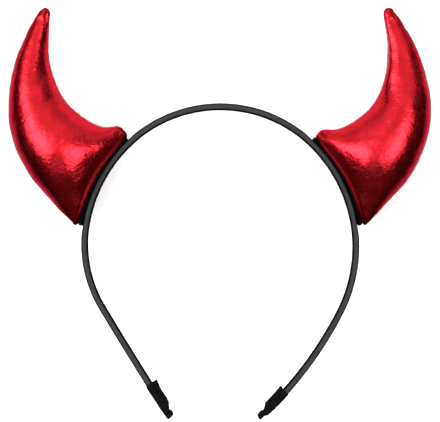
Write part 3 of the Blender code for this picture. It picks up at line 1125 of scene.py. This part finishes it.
def foil_material():
    """Red metallic coating on a stretch cloth: grained, mottled and finely creased."""
    made, nodes, surface = new_material("red_foil", Metallic=1.0, Specular_Tint=FOIL_TINT)
    place = nodes.place("Object")
    mottle = nodes.noise(place, scale=170.0, detail=3.0)
    grain = nodes.noise(place, scale=850.0, detail=1.0)
    creases = nodes.noise(place, scale=520.0, detail=3.0, roughness=0.55)
    cells = {"Vector": place, "Scale": 1300.0, "Randomness": 1.0}
    pebble = nodes.new("ShaderNodeTexVoronoi", cells).outputs["Distance"]
    worn = nodes.ramp(grain, low=0.35, high=0.7, to_high=0.35)
    seam = nodes.new("ShaderNodeAttribute", attribute_name="seam").outputs["Fac"]
    colour = nodes.mix(nodes.ramp(mottle, low=0.3, high=0.7), FOIL_DEEP, FOIL_LIGHT)
    colour = nodes.mix(worn, colour, FOIL_WORN)
    # Painted shade where the seam attribute is set: beside the outer seam and on the hem
    colour = nodes.mix(nodes.times(seam, SEAM_SHADE_DEPTH), colour, FOIL_PAINTED_SHADE)
    rough = nodes.ramp(nodes.add(grain, mottle), low=0.7, high=1.3, to_low=0.20, to_high=0.29)
    rough = nodes.add(rough, nodes.ramp(seam, low=0.9, high=1.15, to_high=0.2))
    normal = nodes.bump(creases, strength=0.22, distance=0.0004)
    normal = nodes.bump(pebble, strength=0.12, distance=0.0002, normal=normal)
    normal = nodes.bump(grain, strength=0.45, distance=0.0002, normal=normal)
    nodes.feed(surface.inputs, {"Base Color": colour, "Roughness": rough, "Normal": normal})
    return made


def felt_material():
    """Black pressed felt: matted fibres in clumps."""
    made, nodes, surface = new_material("black_felt", Roughness=0.95, Specular_IOR_Level=0.03)
    place = nodes.place("Object")
    fibres = nodes.noise(place, scale=2600.0, detail=5.0, roughness=0.7)
    clumps = nodes.noise(place, scale=700.0)
    shade = nodes.ramp(nodes.add(fibres, clumps), low=0.7, high=1.3)
    colour = nodes.mix(shade, FELT_DARK, FELT_LIGHT)
    normal = nodes.bump(fibres, strength=0.8, distance=0.0004)
    nodes.feed(surface.inputs, {"Base Color": colour, "Normal": normal})
    return made


def satin_material():
    """Black satin ribbon: long floats along the band, finer crossing threads between them, and
    painted shade where it turns over the band's edges."""
    made, nodes, surface = new_material("black_satin")
    uv = nodes.place("UV")
    along, around, _ = nodes.new("ShaderNodeSeparateXYZ", {"Vector": uv}).outputs
    twill = nodes.wave(nodes.add(along, nodes.times(around, SATIN_LEAN)), SATIN_TWILL_PITCH)
    cords = nodes.wave(around, SATIN_CORD_PITCH)
    slubs = nodes.noise(uv, scale=900.0)
    threads = nodes.add(nodes.times(twill, SATIN_TWILL), nodes.times(cords, SATIN_CORDS))
    weave = nodes.add(threads, slubs)
    shade = nodes.ramp(weave, low=-0.3, high=1.2)
    # Painted shade: the colour darkens and the gloss fades over the band's turned edges
    swing = nodes.maths("COSINE", nodes.times(around, 4 * math.pi / BAND_GIRTH))
    edge = nodes.ramp(swing, BAND_EDGE_LOW, BAND_EDGE_HIGH, kind="SMOOTHSTEP")
    colour = nodes.mix(edge, nodes.mix(shade, SATIN_DARK, SATIN_LIGHT), SATIN_EDGE_SHADE)
    gloss = nodes.ramp(edge, low=0.0, high=1.0, to_low=0.10, to_high=0.0)
    rough = nodes.ramp(slubs, low=0.3, high=0.7, to_low=0.46, to_high=0.60)
    normal = nodes.bump(weave, strength=0.25, distance=0.00005)
    nodes.feed(surface.inputs, {"Base Color": colour, "Specular IOR Level": gloss})
    nodes.feed(surface.inputs, {"Roughness": rough, "Normal": normal})
    return made


def cover_material():
    """Near-black ribbed cloth, fuzzy, tufted and dull."""
    made, nodes, surface = new_material(
        "black_cover_cloth", Roughness=0.9, Specular_IOR_Level=0.05
    )
    uv = nodes.place("UV")
    along, around, _ = nodes.new("ShaderNodeSeparateXYZ", {"Vector": uv}).outputs
    wander = nodes.times(nodes.noise(uv, scale=500.0), COVER_WANDER)
    ribs = nodes.wave(nodes.add(around, wander), COVER_RIBS_PITCH)
    courses = nodes.wave(along, COVER_COURSE_PITCH)
    fuzz = nodes.noise(uv, scale=3000.0, detail=4.0, roughness=0.7)
    tufts = nodes.noise(uv, scale=800.0)
    knit = nodes.add(ribs, nodes.times(courses, COVER_COURSES))
    knit = nodes.add(knit, nodes.times(fuzz, COVER_FUZZ))
    tufted = nodes.ramp(tufts, low=0.35, high=0.65, to_low=0.2, to_high=1.8)
    shade = nodes.times(nodes.ramp(knit, low=-0.8, high=2.2), tufted)
    colour = nodes.mix(shade, COVER_DARK, COVER_LIGHT)
    normal = nodes.bump(knit, strength=0.6, distance=0.00012)
    nodes.feed(surface.inputs, {"Base Color": colour, "Normal": normal})
    return made


def floor_material():
    made, nodes, surface = new_material("pale_floor", Roughness=0.7, Specular_IOR_Level=0.3)
    tint = nodes.noise(nodes.place("Object"), scale=3.0)
    nodes.feed(surface.inputs, {"Base Color": nodes.mix(tint, FLOOR_DARK, FLOOR_LIGHT)})
    return made


def card_material():
    made, nodes, surface = new_material("white_card", Roughness=0.9, Specular_IOR_Level=0.0)
    ends = {0: nodes.place("Object"), 1: (0.0, CARD_CENTRE, 0.0)}
    away = nodes.new("ShaderNodeVectorMath", ends, operation="DISTANCE").outputs["Value"]
    # Painted shade: the card's colour fades to black outwards, and the foil mirrors it
    shade = nodes.ramp(away, CARD_WHITE, CARD_DARK, CARD_ALBEDO, 0.0, kind="SMOOTHSTEP")
    nodes.feed(surface.inputs, {"Base Color": shade})
    return made


# Light, floor and camera


def toward(polar, azimuth):
    """Unit vector this many degrees from straight up, turned this many from +X towards +Y."""
    p = math.radians(polar)
    a = math.radians(azimuth)
    return (math.sin(p) * math.cos(a), math.sin(p) * math.sin(a), math.cos(p))


def make_light():
    """Soft studio light: two boxes, a broad glow over the crown, one beyond it, a faint one from
    below the headband, and a dim room."""
    world = bpy.data.worlds.new("studio")
    world.use_nodes = True
    bpy.context.scene.world = world
    nodes = Nodes(world.node_tree)
    look = nodes.place("Generated")
    total = ROOM_LIGHT
    for row in LIGHT_ROWS:
        lobe = dict(zip(LIGHT_COLUMNS, row))
        pair = {0: look, 1: toward(lobe["polar"], lobe["azimuth"])}
        facing = nodes.new("ShaderNodeVectorMath", pair, operation="DOT_PRODUCT").outputs["Value"]
        rim = math.cos(math.radians(lobe["outer"]))
        core = math.cos(math.radians(lobe["inner"]))
        glow = nodes.ramp(facing, rim, core, 0.0, lobe["strength"], kind="SMOOTHSTEP")
        total = nodes.add(total, glow)
    background = world.node_tree.nodes["Background"]
    nodes.feed(background.inputs, {"Color": WHITE, "Strength": total})


def flat_square(name, size, drop, material):
    half = size / 2
    mesh = bpy.data.meshes.new(name)
    corners = [(-half, -half, 0), (half, -half, 0), (half, half, 0), (-half, half, 0)]
    mesh.from_pydata(corners, [], [(0, 1, 2, 3)])
    mesh.materials.append(material)
    square = bpy.data.objects.new(name, mesh)
    square.location.z = -drop
    bpy.context.scene.collection.objects.link(square)
    return square


def make_floor():
    """Plain pale floor, and the card that stands in for it in the foil's reflections."""
    floor = flat_square("floor", FLOOR_SIZE, FLOOR_DROP, floor_material())
    floor.visible_glossy = False
    card = flat_square("card", CARD_SIZE, CARD_DROP, card_material())
    card.visible_camera = False
    card.visible_diffuse = False
    card.visible_shadow = False


def make_camera():
    """Straight above, far enough that the mid plane fills the photograph's frame."""
    data = bpy.data.cameras.new("camera")
    data.lens = LENS
    data.sensor_width = SENSOR
    data.clip_start = CLIP_START
    data.clip_end = CLIP_END
    distance = PHOTO_WIDTH * METRES_A_PIXEL * LENS / SENSOR
    camera = bpy.data.objects.new("camera", data)
    camera.location = (VIEW_CENTRE.x, VIEW_CENTRE.y, REST_HEIGHT + distance)
    bpy.context.scene.collection.objects.link(camera)
    bpy.context.scene.camera = camera


scene = bpy.context.scene
scene.view_settings.view_transform = "Standard"
scene.view_settings.look = "None"
make_camera()
make_light()
make_floor()
foil = foil_material()
felt = felt_material()
satin = satin_material()
cover_cloth = cover_material()
make_band(satin)
for side in SIDES:
    make_horn(side, foil)
    make_hem(side, foil)
    make_pad(side, felt)
    make_cover(side, cover_cloth)

bpy.context.view_layer.update()
